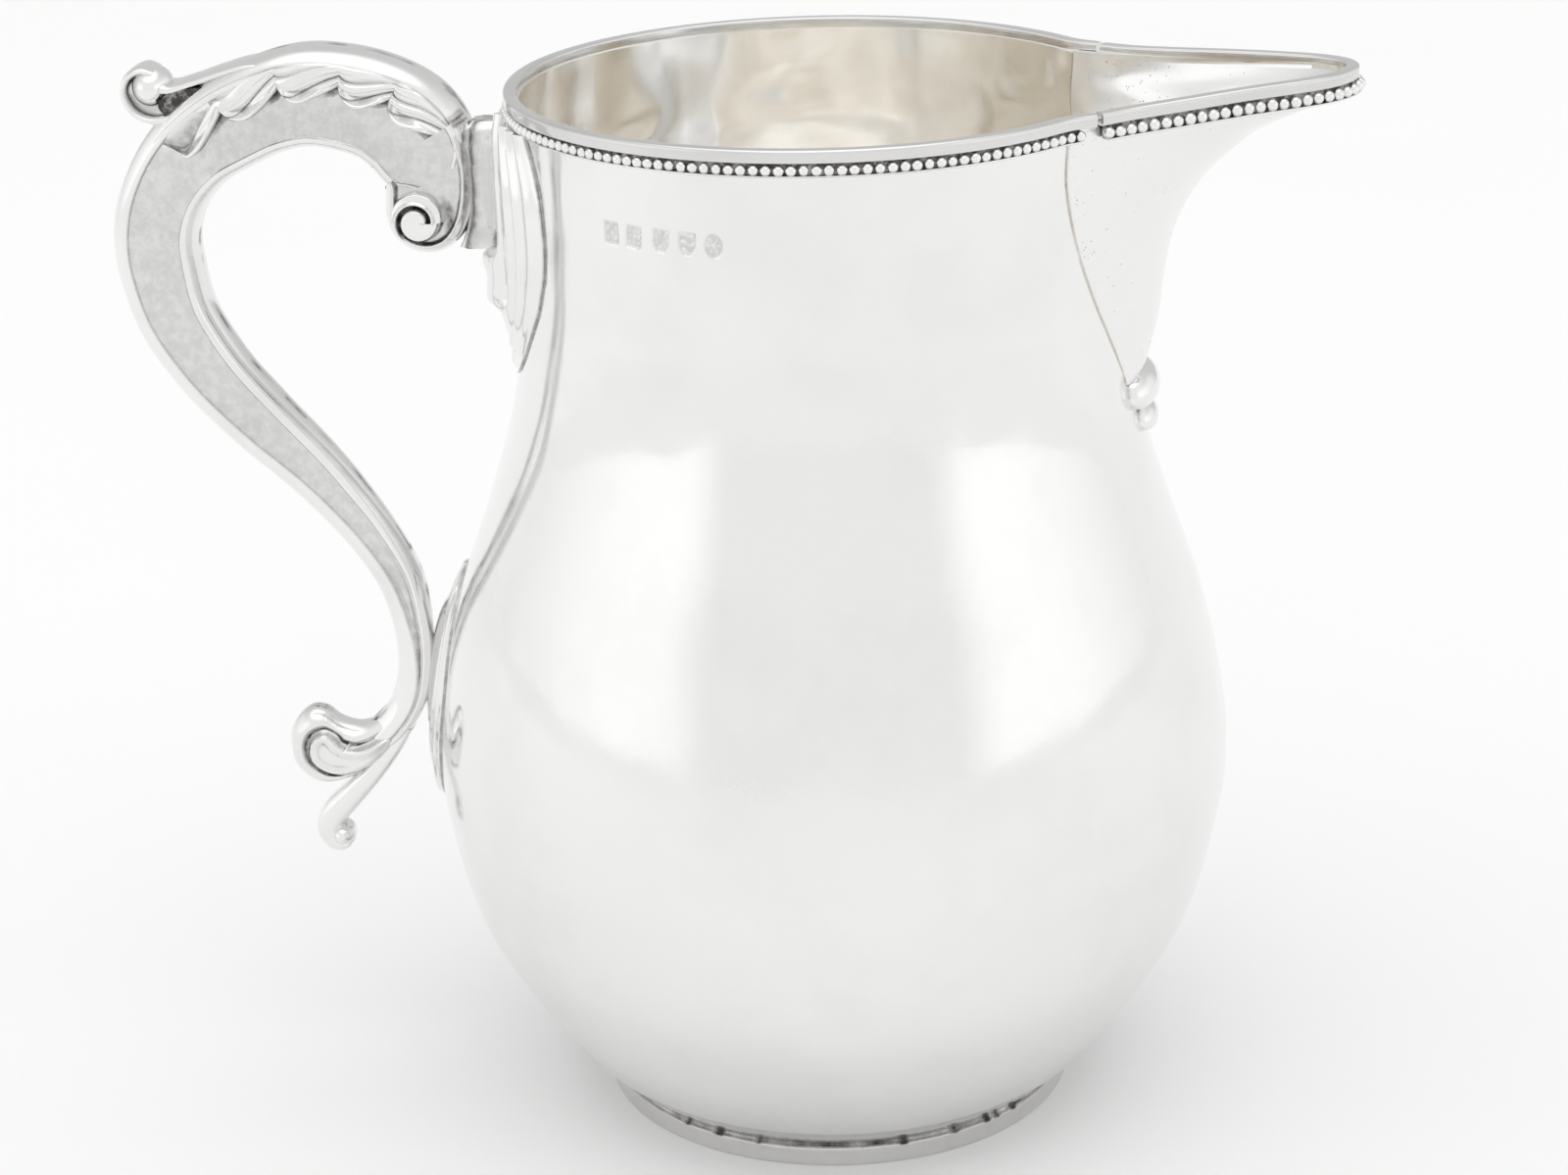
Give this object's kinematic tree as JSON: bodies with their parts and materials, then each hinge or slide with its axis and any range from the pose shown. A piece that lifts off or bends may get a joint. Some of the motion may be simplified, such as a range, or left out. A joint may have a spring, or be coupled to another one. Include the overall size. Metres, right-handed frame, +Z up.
{
  "type": "water pitcher",
  "caption": "Pear-shaped polished silver water pitcher with a plain foot ring, beaded rim, applied pouring spout and a hollow scroll handle with an acanthus leaf.",
  "frame": {"origin": "on the table, under the middle of the overall width from spout tip to handle; the body's own axis stands at x = +17.25 mm", "axes": "+Z up, +X towards the spout, -X towards the handle, +Y to the left of someone who looks from the handle to the spout"},
  "size_m": [0.2251, 0.1472, 0.1996],
  "materials": {
    "silver_body": "polished, faint hand planishing and fine scratches",
    "silver_foot": "polished, dark tarnish along the solder line",
    "silver_rim": "polished",
    "silver_beads": "polished tops, dark tarnish in the gaps",
    "silver_spout": "polished, fine casting pits",
    "silver_handle": "polished edges, soft satin on the dished sides",
    "silver_leaf": "polished relief, dark tarnish in the recesses",
    "silver_mount": "polished cast flutes, tarnish in the hollows"
  },
  "bodies": {
    "root": {"body_shell": "silver_body", "foot_band": "silver_foot", "rim_band": "silver_rim", "rim_bead_wire": "silver_beads", "spout_shell": "silver_spout", "spout_rim_band": "silver_rim", "spout_bead_wire": "silver_beads", "spout_drop_large": "silver_spout", "spout_drop_small": "silver_spout", "upper_mount": "silver_mount", "upper_neck": "silver_mount", "volute": "silver_handle", "volute_pearl_left": "silver_handle", "volute_pearl_right": "silver_handle", "stem_half_left": "silver_handle", "stem_half_right": "silver_handle", "leaf_left": "silver_leaf", "leaf_right": "silver_leaf", "thumb_scroll": "silver_leaf", "terminal_scroll": "silver_handle", "tail_scroll": "silver_handle", "lower_mount": "silver_mount"}
  },
  "joints": []
}
